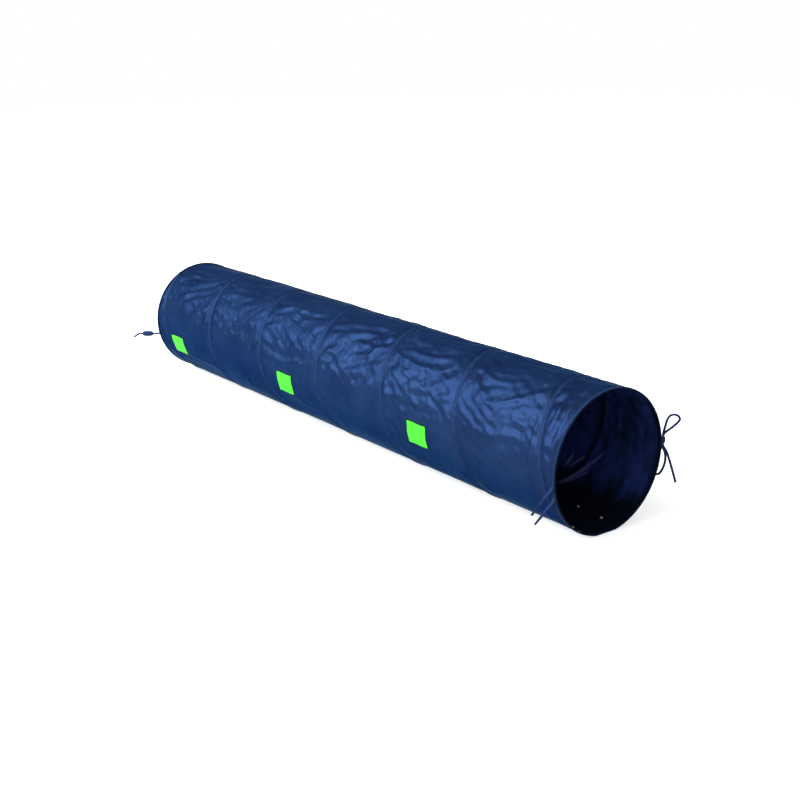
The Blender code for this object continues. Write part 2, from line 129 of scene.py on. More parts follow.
def nodes_for(name, colour, roughness, metallic=0.0, clear_gloss=0.5, edge=(1, 1, 1)):
    """A new material, its nodes and its shader. The edge colour tints what metal reflects at a slant."""
    made = bpy.data.materials.new(name)
    made.use_nodes = True
    tree = made.node_tree
    shader = tree.nodes["Principled BSDF"]
    shader.inputs["Base Color"].default_value = (*colour, 1)
    shader.inputs["Roughness"].default_value = roughness
    shader.inputs["Metallic"].default_value = metallic
    shader.inputs["Specular IOR Level"].default_value = clear_gloss
    shader.inputs["Specular Tint"].default_value = (*edge, 1)
    return made, tree, shader


def object_place(tree):
    """Where a point lies on its object, in metres."""
    return tree.nodes.new("ShaderNodeTexCoord").outputs["Object"]


def cloth_chart(tree):
    """Where a point lies on the flat cloth, in metres."""
    where = tree.nodes.new("ShaderNodeUVMap")
    where.uv_map = "cloth"
    return where.outputs[0]


def calculated(tree, operation, *values):
    """The result of a sum. Each value is a plain number or another node's output."""
    made = tree.nodes.new("ShaderNodeMath")
    made.operation = operation
    for socket, value in zip(made.inputs, values):
        if isinstance(value, (int, float)):
            socket.default_value = value
        else:
            tree.links.new(value, socket)
    return made.outputs[0]


def noise(tree, source, **values):
    """A noise texture read at the source, with these values on its sockets."""
    made = tree.nodes.new("ShaderNodeTexNoise")
    tree.links.new(source, made.inputs["Vector"])
    for name, value in values.items():
        made.inputs[name].default_value = value
    return made


def graded(tree, share, *stops):
    """A colour picked by a number. Each stop is a position and the colour there."""
    ramp = tree.nodes.new("ShaderNodeValToRGB")
    tree.links.new(share, ramp.inputs[0])
    elements = ramp.color_ramp.elements
    for number, (position, colour) in enumerate(stops):
        element = elements[number] if number < 2 else elements.new(position)
        element.position = position
        element.color = (*colour, 1)
    return ramp.outputs[0]


def raise_bump(tree, shader, height, strength, distance):
    """Lets the light see a surface raised by the height, which is another node's output."""
    bump = tree.nodes.new("ShaderNodeBump")
    bump.inputs["Strength"].default_value = strength
    bump.inputs["Distance"].default_value = distance
    tree.links.new(height, bump.inputs["Height"])
    tree.links.new(bump.outputs[0], shader.inputs["Normal"])


def weave_bump(tree, shader, source, threads, strength):
    """Fine crossing threads, as a bump over a surface that is read in metres."""
    split = tree.nodes.new("ShaderNodeSeparateXYZ")
    tree.links.new(source, split.inputs[0])
    waves = []
    for axis in ("X", "Y"):
        turn = calculated(tree, "MULTIPLY", split.outputs[axis], 2 * math.pi * threads)
        waves.append(calculated(tree, "SINE", turn))
    raise_bump(tree, shader, calculated(tree, "MULTIPLY", *waves), strength, 0.0003)


tape_cloth, tree, shader = nodes_for("navy woven tape", (0.018, 0.032, 0.1), 0.5, clear_gloss=0.04)
chart = cloth_chart(tree)
weave_bump(tree, shader, chart, 900, 0.7)
shades = noise(tree, chart, Scale=90).outputs[0]
colour = graded(tree, shades, (0.3, (0.014, 0.028, 0.095)), (0.75, (0.032, 0.062, 0.21)))
tree.links.new(colour, shader.inputs["Base Color"])


def smooth_path(points, step):
    """Points a step apart on the smooth curve through these."""
    points = [Vector(point) for point in points]
    ends = [2 * points[0] - points[1]] + points + [2 * points[-1] - points[-2]]
    found = [points[0]]
    for before, here, after, beyond in zip(ends, ends[1:], ends[2:], ends[3:]):
        count = max(1, round((after - here).length / step))
        for i in range(1, count + 1):
            t = i / count
            bend = (2 * before - 5 * here + 4 * after - beyond) * t ** 2
            bend += (3 * here - before - 3 * after + beyond) * t ** 3
            found.append(here + ((after - before) * t + bend) / 2)
    return found


def swept(name, rings, material):
    """A closed surface through rings of points, with a UV map in metres along it and across it."""
    bm = bmesh.new()
    chart = bm.loops.layers.uv.new("cloth")
    made = [[bm.verts.new(point) for point in ring] for ring in rings]
    count = len(rings[0])
    lengths = [0.0]
    for one, two in zip(rings, rings[1:]):
        lengths.append(lengths[-1] + (two[0] - one[0]).length)
    widths = [0.0]
    for i in range(count):
        widths.append(widths[-1] + (rings[0][(i + 1) % count] - rings[0][i]).length)
    for step in range(len(made) - 1):
        for i in range(count):
            j = (i + 1) % count
            face = bm.faces.new((made[step][i], made[step][j], made[step + 1][j], made[step + 1][i]))
            places = ((step, i), (step, i + 1), (step + 1, i + 1), (step + 1, i))
            for loop, (row, column) in zip(face.loops, places):
                loop[chart].uv = (lengths[row], widths[column])
            face.smooth = True
    for ring in (made[0], made[-1]):
        bm.faces.new(ring)
    bmesh.ops.recalc_face_normals(bm, faces=bm.faces)
    mesh = bpy.data.meshes.new(name)
    bm.to_mesh(mesh)
    bm.free()
    piece = bpy.data.objects.new(name, mesh)
    bpy.context.scene.collection.objects.link(piece)
    piece.data.materials.append(material)
    return piece


def tape(name, first, offsets, wide, twist=(0, 0)):
    """A flat tape with rounded edges and a slight curl. Returns it with its path and its length."""
    path = [first + offset for offset in smooth_path(offsets, TAPE_STEP)]
    wide = Vector(wide)
    half = TAPE_WIDTH / 2
    shape = ((-1, 0), (-0.92, 1), (-0.5, 1.1), (0, 1), (0.5, 1.1), (0.92, 1), (1, 0))
    shape += ((0.92, -1), (0.5, -0.9), (0, -1), (-0.5, -0.9), (-0.92, -1))
    rings = []
    for i, point in enumerate(path):
        run = (path[min(i + 1, len(path) - 1)] - path[max(i - 1, 0)]).normalized()
        wide = (wide - run * run.dot(wide)).normalized()
        share = i / (len(path) - 1)
        lean = Matrix.Rotation(math.radians(twist[0] + (twist[1] - twist[0]) * share), 3, run)
        flat = lean @ wide
        through = run.cross(flat)
        curl = TAPE_CURL * math.sin(i * 0.35)
        rings.append([
            point + flat * across * half + through * (up * TAPE_WALL / 2 + curl * across * across)
            for across, up in shape
        ])
    length = sum((two - one).length for one, two in zip(path, path[1:]))
    return swept(name, rings, tape_cloth), path, length


def knot(name, middle, size, turn, wraps):
    """A tied lump of tape, with the turns of tape that cross it standing proud."""
    bpy.ops.object.select_all(action="DESELECT")
    bpy.ops.mesh.primitive_uv_sphere_add(segments=40, ring_count=28, radius=0.5)
    piece = bpy.context.object
    piece.name = name
    for vert in piece.data.vertices:
        side = vert.co
        square = max(abs(side.x), abs(side.y), abs(side.z))
        side = side * (1 + 0.45 * (1 - square / side.length))
        lean = side.z + 0.22 * math.sin(2 * math.atan2(side.y, side.x))
        ridge = abs(math.sin(math.pi * wraps * lean))
        side = side * (0.88 + 0.12 * ridge ** 0.5)
        vert.co = Vector((side.x * size[0], side.y * size[1], side.z * size[2]))
    placed = Matrix.Translation(middle) @ turn
    piece.data.transform(placed)
    piece.data.materials.append(tape_cloth)
    piece.data.uv_layers[0].name = "cloth"
    bpy.ops.object.shade_smooth()
    return piece


corner = Vector(place(BINDING_WIDTH / 2, BOW_ANGLE, TUBE_RADIUS))
bow_middle = corner + Vector((0, BOW_KNOT_SIZE[1] / 2 + CLEARANCE, 0))
bow_end = Vector((0, 0, BOW_KNOT_SIZE[2] / 2 + CLEARANCE))
bow_knot = knot("bow_knot", bow_middle, BOW_KNOT_SIZE, Matrix(), 2.5)
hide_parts("front_bow_knot")
upper_loop, upper_path, upper_length = tape(
    "upper_loop", bow_middle + bow_end, UPPER_LOOP, (1, 0, 0), (38, 86),
)
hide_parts("front_bow_upper_loop")
lower_loop, lower_path, lower_length = tape(
    "lower_loop", bow_middle - bow_end, LOWER_LOOP, (1, 0, 0), (-52, -5),
)
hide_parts("front_bow_lower_loop")
tail_start = bow_middle - bow_end + Vector((0, BOW_SPACING, 0))
bow_tail, tail_path, tail_length = tape("bow_tail", tail_start, BOW_TAIL, (1, 0, 0), (-57, -52))
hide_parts("front_bow_tail")
for piece in (bow_knot, upper_loop, lower_loop, bow_tail):
    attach(piece, "front_end")


# The two tails at the left of the near mouth
# The ends of a second tape, tied through the binding. They cross just under their root and hang in front of
# the rim.

TAIL_STANDOFF = 0.0014
TAILS = (
    # (name, angle of its root, route)
    ("upper", -6.0, (
        (0, 0, 0), (-0.008, -0.002, -0.02), (-0.03, -0.008, -0.05), (-0.055, -0.015, -0.09),
        (-0.085, -0.023, -0.139),
    )),
    ("lower", -16.0, (
        (0, 0, 0), (-0.006, -0.003, -0.018), (-0.024, -0.01, -0.045), (-0.048, -0.018, -0.085),
        (-0.075, -0.024, -0.125),
    )),
)

for name, angle, route in TAILS:
    side = Vector((0, -math.cos(math.radians(angle)), math.sin(math.radians(angle))))
    first = Vector(place(BINDING_WIDTH / 2, angle, TUBE_RADIUS)) + side * TAIL_STANDOFF
    tail, path, length = tape(f"{name}_tail", first, route, (1, 0, 0), (0, -60))
    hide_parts(f"front_{name}_tail")
    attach(tail, "front_end")


# The tie at the far mouth
# A tape that comes off the far binding, carries one long knot and ends in a short tail.

REAR_TIE_ANGLE = -13.0
REAR_TIE_TURN = 52.0
REAR_KNOT_SIZE = (0.064, 0.022, 0.031)
REAR_KNOT_DROP = 0.004
REAR_OUTWARD = (0, -0.960, -0.280)
REAR_STRAP = 0.034
REAR_LIFT = 0.0085
REAR_RUN = 0.0113
REAR_TAIL = ((-0.0049, -0.0063, 0), (-0.014, -0.018, -0.004), (-0.029, -0.038, -0.021))

off = Vector(REAR_OUTWARD)
lean = Vector((-math.cos(math.radians(REAR_TIE_TURN)), -math.sin(math.radians(REAR_TIE_TURN)), 0))
first = Vector(place(TUNNEL_LENGTH - BINDING_WIDTH / 2, REAR_TIE_ANGLE, TUBE_RADIUS)) + off * CLEARANCE
half_knot = REAR_KNOT_SIZE[0] / 2 + CLEARANCE
rear_middle = first + lean * (REAR_STRAP + half_knot) - Vector((0, 0, REAR_KNOT_DROP))
reach = rear_middle - lean * half_knot - first
beyond = reach + lean * 2 * half_knot
route = [Vector(), off * REAR_LIFT, reach - lean * REAR_RUN, reach, reach + lean * half_knot, beyond]
route += [beyond + Vector(step) for step in REAR_TAIL]
rear_tie, path, length = tape("rear_tie", first, route, (0, 0, 1), (28, 18))
rear_turn = Matrix.Rotation(math.radians(REAR_TIE_TURN), 4, "Z")
rear_knot = knot("rear_knot", rear_middle, REAR_KNOT_SIZE, rear_turn, 5.5)
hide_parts("rear_tie_strap", "rear_tie_tail")
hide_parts("rear_tie_knot")
for piece in (rear_tie, rear_knot):
    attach(piece, "turn_6")


# The tube of cloth
# Thin navy polyester, sewn into one long tube and then to the spring. Between the turns of the spring it is
# slack, so it hangs in creases and folds that run from one turn to the next.

BAYS = 6
BAY_LENGTH = TUNNEL_LENGTH / BAYS
SPRING_PITCH = 0.505
SPRING_START = -51.667
SPRING_END = 2219.97
SPRING_ALONG = 0.0067
SEAM_ANGLE = -90.0
CLOTH_RADIUS = 0.2943
CLOTH_RISE = 0.0028
CLOTH_MIDDLE = 0.2974
CLOTH_WALL = 0.0005
CLOTH_ROWS = 360
CLOTH_COLUMNS = 216
CASING_LIFT = 0.0017
HELD_BAND = 0.0115
FREE_BAND = 0.045
FLOOR_ARC = 26
SQUARE_LENGTH = 0.135
SQUARE_ARC = 21.5
SQUARES = {2: ("near", 0.038, -9.5), 4: ("middle", 0.011, -12.0), 6: ("far", 0.045, -18.5)}
FOLD_HEIGHT = 1.3
FAR_SIDE_FOLDS = 80
CREASES = 18
CREASE_HEIGHT = 0.02
CUT_ROUND = 0.009
CUT_ROUND_LOW = 0.002
CUT_LENGTH = 0.006
CUT_SKEW = 0.03
SEWING_FRAMES = 4
CLOTH_FRAMES = 14
HEM_WIDTH = 0.052
HEM_WALL = 0.0006
HEM_GAP = 0.0009
EDGE_TINT = (0.32, 0.43, 0.54)
FOLDS = (
    # (start along, start angle, end along, end angle, half width, height)
    (1.13, 53, 0.70, 42, 0.020, 0.004),
    (1.11, 47, 0.64, 20, 0.018, 0.004),
    (1.09, 38, 0.82, 13, 0.018, 0.004),
    (0.93, 43, 0.66, 16, 0.022, -0.005),
    (1.12, 60, 0.75, 62, 0.018, 0.003),
    (1.14, 72, 0.72, 75, 0.020, 0.002),
    (1.10, 31, 1.02, 6, 0.012, 0.003),
    (1.08, 35, 0.90, 1, 0.014, 0.003),
    (1.07, -4, 0.85, -30, 0.016, -0.003),
    (0.62, 62, 0.36, 58, 0.020, 0.003),
    (0.60, 50, 0.41, 36, 0.020, 0.004),
    (0.41, 35, 0.23, 52, 0.016, 0.003),
    (0.55, 36, 0.22, 30, 0.020, 0.003),
    (0.40, 34, 0.12, 70, 0.016, 0.004),
    (0.15, 42, 0.115, -10, 0.010, 0.005),
    (0.115, 66, 0.045, 20, 0.010, 0.005),
    (0.08, 30, 0.05, -40, 0.009, 0.005),
    (0.05, 50, 0.03, 0, 0.008, 0.004),
    (0.13, 10, 0.075, -50, 0.010, 0.004),
    (0.06, -10, 0.03, -60, 0.008, 0.004),
    (0.03, 80, 0.05, 40, 0.008, 0.003),
    (0.20, 22, 0.17, -30, 0.012, -0.002),
    (0.045, 66, 0.028, 10, 0.007, 0.005),
    (0.035, 20, 0.028, -30, 0.006, 0.004),
    (0.075, 60, 0.055, 28, 0.007, -0.004),
    (0.095, 58, 0.09, 14, 0.008, 0.005),
    (0.06, 14, 0.045, -22, 0.006, -0.004),
    (0.03, -25, 0.024, -62, 0.006, 0.004),
    (0.09, 88, 0.04, 64, 0.009, 0.004),
    (0.13, 84, 0.09, 60, 0.009, 0.004),
    (0.22, 204, 0.36, 238, 0.009, -0.004),
    (0.62, 8, 0.57, -45, 0.009, 0.003),
    (0.50, 6, 0.44, -50, 0.010, 0.003),
    (0.36, 4, 0.33, -48, 0.010, -0.003),
    (0.97, 4, 0.92, -45, 0.010, 0.003),
    (1.48, 2, 1.44, -46, 0.010, 0.003),
    (1.75, 6, 1.70, -42, 0.010, -0.003),
    (2.02, 4, 1.98, -46, 0.010, 0.003),
    (2.30, 0, 2.27, -44, 0.010, 0.003),
    (2.55, 4, 2.52, -40, 0.010, 0.003),
    (0.14, 118, 0.17, 205, 0.012, 0.005),
    (0.20, 128, 0.24, 200, 0.012, -0.005),
    (0.29, 120, 0.32, 196, 0.014, 0.005),
    (0.09, 135, 0.11, 210, 0.010, -0.004),
    (0.36, 125, 0.40, 190, 0.014, -0.005),
    (1.29, 39, 1.21, 72, 0.014, 0.006),
    (1.325, 46, 1.24, 76, 0.014, -0.005),
    (1.66, 34, 1.41, 29, 0.020, 0.004),
    (1.62, 47, 1.33, 50, 0.020, 0.003),
    (1.64, 26, 1.42, 14, 0.018, 0.004),
    (1.58, 60, 1.26, 66, 0.020, 0.002),
    (1.97, 53, 1.66, 34, 0.026, -0.008),
    (2.02, 60, 1.68, 43, 0.018, 0.004),
    (2.02, 46, 1.74, 24, 0.018, 0.005),
    (2.23, 38, 1.90, 10, 0.018, 0.004),
    (2.13, 27, 2.00, 4, 0.016, 0.003),
    (2.10, 66, 1.75, 60, 0.020, 0.003),
    (2.55, 18, 2.17, 38, 0.018, 0.004),
    (2.78, 60, 2.50, 61, 0.020, 0.004),
    (2.78, 42, 2.40, 26, 0.020, 0.004),
    (2.37, 25, 2.23, 4, 0.016, 0.003),
    (2.98, 52, 2.86, 18, 0.018, 0.003),
    (2.66, 52, 2.40, 44, 0.020, -0.004),
)
INNER_FOLDS = (
    (0.274, 199.5, 0.436, 235, 0.0055, -0.008),
    (0.380, 207, 0.426, 222, 0.0055, -0.007),
    (0.436, 207, 0.475, 222, 0.005, -0.006),
    (0.330, 213, 0.432, 240, 0.005, -0.005),
)


def spring_offset(along, angle):
    """How far behind the nearest turn of the spring a point lies, in metres along the tunnel."""
    turns = np.round((along - SPRING_ALONG) / SPRING_PITCH - (angle - SPRING_START) / 360)
    whole = np.clip(angle + 360 * turns, SPRING_START, SPRING_END)
    return along - SPRING_ALONG - SPRING_PITCH * (whole - SPRING_START) / 360


def band_distance(along, angle):
    """How far the cloth lies from what holds it: the nearest turn of the spring or the nearer mouth."""
    ends = np.minimum(along, TUNNEL_LENGTH - along)
    return np.minimum(np.abs(spring_offset(along, angle)), ends)


def smooth_rise(value, low, high):
    """From 0 at low to 1 at high, with soft ends."""
    share = np.clip((value - low) / (high - low), 0, 1)
    return share * share * (3 - 2 * share)


def grid(name, columns, rows, surface, size):
    """A grid whose points are laid on a surface. Its UV map has the flat size in metres."""
    bpy.ops.object.select_all(action="DESELECT")
    bpy.ops.mesh.primitive_grid_add(x_subdivisions=columns, y_subdivisions=rows, size=1)
    piece = bpy.context.object
    piece.name = name
    mesh = piece.data
    flat = np.empty(len(mesh.vertices) * 3)
    mesh.vertices.foreach_get("co", flat)
    flat = flat.reshape(-1, 3) + 0.5
    mesh.vertices.foreach_set("co", surface(flat[:, 0], flat[:, 1]).ravel())
    chart = mesh.uv_layers[0]
    chart.name = "cloth"
    spots = np.empty(len(mesh.loops) * 2)
    chart.data.foreach_get("uv", spots)
    spots = spots.reshape(-1, 2) * size
    chart.data.foreach_set("uv", spots.ravel())
    mesh.update()
    return piece


def points_of(mesh):
    """The points of a mesh as rows of three numbers."""
    found = np.empty(len(mesh.vertices) * 3)
    mesh.vertices.foreach_get("co", found)
    return found.reshape(-1, 3)


def along_and_angle(points):
    """Where points lie on the tunnel: how far back, and at which angle, from the floor round to the floor."""
    along = FRONT - points[:, 0]
    angle = np.degrees(np.arctan2(points[:, 2] - AXIS_HEIGHT, -points[:, 1]))
    return along, np.where(angle < SEAM_ANGLE, angle + 360, angle)


def keep_number(mesh, name, values):
    """Stores a number for each point of a mesh, for its material to read."""
    mesh.attributes.new(name, "FLOAT", "POINT").data.foreach_set("value", values)


def make_active(piece):
    """Selects this piece alone, for the operators that come next."""
    bpy.ops.object.select_all(action="DESELECT")
    piece.select_set(True)
    bpy.context.view_layer.objects.active = piece


def weld(capped=False):
    """Merges the points of the active piece that meet, caps its ends if asked and turns its faces outward."""
    bpy.ops.object.mode_set(mode="EDIT")
    bpy.ops.mesh.select_all(action="SELECT")
    bpy.ops.mesh.remove_doubles(threshold=1e-5)
    if capped:
        bpy.ops.mesh.fill_holes(sides=0)
        bpy.ops.mesh.select_all(action="SELECT")
    bpy.ops.mesh.normals_make_consistent(inside=False)
    bpy.ops.object.mode_set(mode="OBJECT")


def finish_shell(piece, wall, inner_slot):
    """Gives a sheet its thickness, and shades both of its faces as the smooth whole sheet is shaded."""
    make_active(piece)
    shell = piece.modifiers.new("wall", "SOLIDIFY")
    shell.thickness = wall
    shell.offset = -1
    shell.use_rim = True
    shell.material_offset = inner_slot
    shell.material_offset_rim = 0
    bpy.ops.object.modifier_apply(modifier=shell.name)
    mesh = piece.data
    owner = np.empty(len(mesh.loops), dtype=np.int32)
    mesh.loops.foreach_get("vertex_index", owner)
    sizes = np.empty(len(mesh.polygons), dtype=np.int32)
    mesh.polygons.foreach_get("loop_total", sizes)
    normals = np.empty(len(mesh.polygons) * 3)
    mesh.polygons.foreach_get("normal", normals)
    flat = np.repeat(normals.reshape(-1, 3), sizes, axis=0)
    kept = np.empty(len(mesh.vertices) * 3)
    mesh.attributes["shade"].data.foreach_get("vector", kept)
    smooth = kept.reshape(-1, 3)[owner]
    smooth /= np.maximum(np.linalg.norm(smooth, axis=1, keepdims=True), 1e-9)
    facing = (flat * smooth).sum(axis=1, keepdims=True)
    shaded = np.where(np.abs(facing) > 0.5, smooth * np.sign(facing), flat)
    mesh.attributes.remove(mesh.attributes["shade"])
    mesh.shade_smooth()
    mesh.normals_split_custom_set(shaded)


def keep_shading(mesh):
    """Stores the smooth direction of each point, so that the parts cut from this mesh shade as one."""
    directions = np.empty(len(mesh.vertices) * 3)
    mesh.vertex_normals.foreach_get("vector", directions)
    mesh.attributes.new("shade", "FLOAT_VECTOR", "POINT").data.foreach_set("vector", directions)


def cut_along(whole, name, low, high):
    """A copy of a whole piece, cut to the stretch between two distances from the near mouth."""
    piece = whole.copy()
    piece.data = whole.data.copy()
    piece.name = name
    bpy.context.scene.collection.objects.link(piece)
    make_active(piece)
    bpy.ops.object.mode_set(mode="EDIT")
    for distance, away in ((low, 1), (high, -1)):
        bpy.ops.mesh.select_all(action="SELECT")
        bpy.ops.mesh.bisect(
            plane_co=(FRONT - distance, 0, 0), plane_no=(away, 0, 0), clear_outer=True, threshold=1e-5,
        )
    bpy.ops.object.mode_set(mode="OBJECT")
    return piece


def fold_with_bay(piece, bay):
    """The piece rides with its turn of the spring, on a mesh of its own."""
    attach(piece, f"turn_{bay}")
    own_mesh(piece)


def free_share(along, angle):
    """0 where the cloth is sewn down, rising to 1 where it is free to fold, which is sooner at a mouth."""
    end = np.minimum(along, TUNNEL_LENGTH - along)
    reach = np.maximum(HELD_BAND + (FREE_BAND - HELD_BAND) * smooth_rise(end, 0.1, 0.3), HELD_BAND + 0.012)
    beside = smooth_rise((np.abs(spring_offset(along, angle)) - HELD_BAND) / (reach - HELD_BAND), 0, 1)
    return beside * smooth_rise(end, BINDING_WIDTH, BINDING_WIDTH + 0.016)


def slack_radius(along, angle):
    """How far out the cloth lies before it folds: at the wire, at the edge of its casing and beyond it."""
    edge = smooth_rise(np.abs(spring_offset(along, angle)), 0.003, 0.0095)
    edge = edge * smooth_rise(np.minimum(along, TUNNEL_LENGTH - along), BINDING_WIDTH, 0.04)
    return CLOTH_RADIUS + CASING_LIFT * edge + (CLOTH_RISE - CASING_LIFT * edge) * free_share(along, angle)


def fold_height(along, angle, folds):
    """How high the cloth stands in these folds. Each starts narrow at a casing and spreads as it runs on."""
    total = np.zeros_like(along)
    for start, top, end, low, wide, high in folds:
        back = along - start
        down = np.radians(angle - top) * TUBE_RADIUS
        run = end - start
        fall = math.radians(low - top) * TUBE_RADIUS
        length = math.hypot(run, fall)
        on = (back * run + down * fall) / length ** 2
        bow = 0.012 * np.sin(3.1 * on + 40 * start)
        aside = np.abs((back * fall - down * run) / length + bow)
        width = wide * (0.55 + 0.6 * np.clip(on, 0, 1))
        ends = smooth_rise(on, -0.02, 0.2) * (1 - smooth_rise(on, 0.7, 1.1))
        total += high * ends * np.exp(-((aside / width) ** 1.3))
    return total


def crease_height(along, angle):
    """Small sharp creases in every direction, as in nylon that has been packed away in its bag."""
    draw = np.random.default_rng(7)
    turn = np.radians(angle)
    total = np.zeros_like(along)
    for _ in range(CREASES):
        wave = draw.uniform(0.028, 0.11)
        tilt = draw.normal(0.25, 0.9)
        around = round(2 * math.pi * TUBE_RADIUS / wave * math.cos(tilt))
        lengthwise = math.sin(tilt) * 2 * math.pi / wave
        starts = draw.uniform(0, 2 * math.pi, 4)
        warp = 0.9 * np.sin(turn * draw.integers(2, 7) + along * draw.normal(0, 9) + starts[0])
        warp += 0.5 * np.sin(turn * draw.integers(5, 12) + along * draw.normal(0, 22) + starts[1])
        patchy = 0.5 + 0.5 * np.sin(turn * draw.integers(1, 6) + along * draw.normal(0, 8) + starts[2])
        phase = (turn * around + along * lengthwise + warp + starts[3]) / (2 * math.pi)
        sharp = np.abs(phase - np.round(phase)) * 4 - 1
        total += wave * patchy * sharp
    return total


def under_square(along, angle):
    """1 where the cloth is held flat by a green square, falling to 0 a little way outside it."""
    flat = np.zeros_like(along)
    for bay, (_, back, middle) in SQUARES.items():
        past = np.abs(along - (bay - 0.5) * BAY_LENGTH - back) - SQUARE_LENGTH / 2
        beside = np.radians(np.abs(angle - middle) - SQUARE_ARC / 2) * TUBE_RADIUS
        flat = np.maximum(flat, 1 - smooth_rise(np.maximum(past, beside), 0.003, 0.03))
    return flat


def sew_to_spring(piece):
    """Starts the cloth as large as it was cut, draws it in to the spring, and lets it fold as it has to."""
    mesh = piece.data
    along, angle = along_and_angle(points_of(mesh))
    held = band_distance(along, angle)
    free = free_share(along, angle)
    square = under_square(along, angle)
    above = smooth_rise(angle, -8, 22) * (1 - 0.4 * smooth_rise(angle, 165, 195))
    above *= 1 - smooth_rise(angle, 215, 240)
    from_floor = np.minimum(angle - SEAM_ANGLE, SEAM_ANGLE + 360 - angle)
    off_floor = smooth_rise(from_floor, 14, 50)
    calm = 1 - 0.55 * smooth_rise(angle, 70, 88) * (1 - smooth_rise(angle, 118, 140))
    folds = list(FOLDS + INNER_FOLDS)
    draw = np.random.default_rng(4)
    for _ in range(FAR_SIDE_FOLDS):
        top = draw.uniform(95, 205)
        start = draw.uniform(0.1, 3.1)
        run = draw.uniform(0.12, 0.4)
        lean = draw.normal(8, 16)
        folds.append((start, top, start - run, top + lean, draw.uniform(0.014, 0.022), draw.normal(0, 0.004)))
    lumps = FOLD_HEIGHT * fold_height(along, angle, folds)
    lumps += CREASE_HEIGHT * crease_height(along, angle) * (0.18 + 0.82 * above)
    rise = slack_radius(along, angle) - CLOTH_RADIUS + free * lumps * calm * (1 - square)
    radius = CLOTH_RADIUS + off_floor * rise
    sewn_points = place(along, angle, radius)
    spare = CUT_ROUND_LOW + (CUT_ROUND - CUT_ROUND_LOW) * above
    cut = place(along * (1 + CUT_LENGTH), angle, radius * (1 + spare))
    skew = CUT_SKEW * along / TUBE_RADIUS
    outward = cut[:, 1].copy()
    height = cut[:, 2] - AXIS_HEIGHT
    cut[:, 1] = np.cos(skew) * outward + np.sin(skew) * height
    cut[:, 2] = AXIS_HEIGHT + np.cos(skew) * height - np.sin(skew) * outward
    mesh.vertices.foreach_set("co", cut.ravel())
    piece.shape_key_add(name="cut")
    sewn = piece.shape_key_add(name="sewn")
    sewn.data.foreach_set("co", sewn_points.ravel())
    group = piece.vertex_groups.new(name="held")
    fixed = (held < HELD_BAND) | (from_floor < FLOOR_ARC) | (square > 0.999)
    group.add([int(number) for number in np.flatnonzero(fixed)], 1.0, "REPLACE")
    cloth = piece.modifiers.new("cloth", "CLOTH")
    cloth.settings.quality = 3
    cloth.settings.mass = 0.02
    cloth.settings.tension_stiffness = 15
    cloth.settings.compression_stiffness = 15
    cloth.settings.shear_stiffness = 5
    cloth.settings.bending_stiffness = 0.2
    cloth.settings.vertex_group_mass = group.name
    cloth.settings.effector_weights.gravity = 0
    cloth.point_cache.frame_start = 1
    cloth.point_cache.frame_end = CLOTH_FRAMES
    for number in range(CLOTH_FRAMES):
        sewn.value = min(1, number / SEWING_FRAMES)
        bpy.context.view_layer.update()
        bpy.context.scene.frame_set(number + 1)
    folded = points_of(piece.evaluated_get(bpy.context.evaluated_depsgraph_get()).data)
    bpy.context.scene.frame_set(1)
    piece.modifiers.remove(cloth)
    piece.vertex_groups.remove(group)
    piece.shape_key_clear()
    outward = np.hypot(folded[:, 1], folded[:, 2] - AXIS_HEIGHT)
    slack = (free > 0.99) & (angle > 0) & (angle < 180)
    lift = (CLOTH_MIDDLE - np.median(outward[slack])) * free * off_floor * (1 - square)
    round_angle = np.arctan2(folded[:, 2] - AXIS_HEIGHT, -folded[:, 1])
    folded[:, 1] -= lift * np.cos(round_angle)
    folded[:, 2] += lift * np.sin(round_angle)
    folded[:, 2] = np.maximum(folded[:, 2], 0.0006)
    mesh.vertices.foreach_set("co", folded.ravel())
    mesh.update()


def ranged(tree, value, start=(0, 1), end=(0, 1)):
    """Carries a number over from one range to another."""
    made = tree.nodes.new("ShaderNodeMapRange")
    tree.links.new(value, made.inputs[0])
    for name, limit in zip(("From Min", "From Max", "To Min", "To Max"), (*start, *end)):
        made.inputs[name].default_value = limit
    return made.outputs[0]


def mixed(tree, factor, first, second):
    """A mix of two colours. Each is a plain colour or another node's output."""
    made = tree.nodes.new("ShaderNodeMix")
    made.data_type = "RGBA"
    tree.links.new(factor, made.inputs["Factor"])
    for name, colour in (("A", first), ("B", second)):
        if isinstance(colour, tuple):
            made.inputs[name].default_value = (*colour, 1)
        else:
            tree.links.new(colour, made.inputs[name])
    return made.outputs["Result"]


def kept_number(tree, name):
    """The number that keep_number stored under this name."""
    made = tree.nodes.new("ShaderNodeAttribute")
    made.attribute_name = name
    return made.outputs["Fac"]


cloth_face, tree, shader = nodes_for("navy polyester", (0.025, 0.063, 0.21), 0.42, 0.6, 0, EDGE_TINT)
where = object_place(tree)
shades = noise(tree, where, Scale=5, Detail=5)
colour = graded(tree, shades.outputs[0], (0.35, (0.01, 0.02, 0.0625)), (0.68, (0.0131, 0.0282, 0.083)))
tree.links.new(colour, shader.inputs["Base Color"])
tree.links.new(ranged(tree, shades.outputs[0], end=(0.31, 0.47)), shader.inputs["Roughness"])
crinkle = noise(tree, where, Scale=22, Detail=3, Distortion=0.5)
crinkle.noise_type = "RIDGED_MULTIFRACTAL"
bent = tree.nodes.new("ShaderNodeVectorMath")
bent.operation = "MULTIPLY_ADD"
bent.inputs[1].default_value = (0.05, 0.05, 0.05)
tree.links.new(shades.outputs["Color"], bent.inputs[0])
tree.links.new(where, bent.inputs[2])
facets = tree.nodes.new("ShaderNodeTexVoronoi")
facets.feature = "DISTANCE_TO_EDGE"
facets.inputs["Scale"].default_value = 17
tree.links.new(bent.outputs[0], facets.inputs["Vector"])
creased = calculated(tree, "MULTIPLY_ADD", facets.outputs["Distance"], -1.1, crinkle.outputs[0])
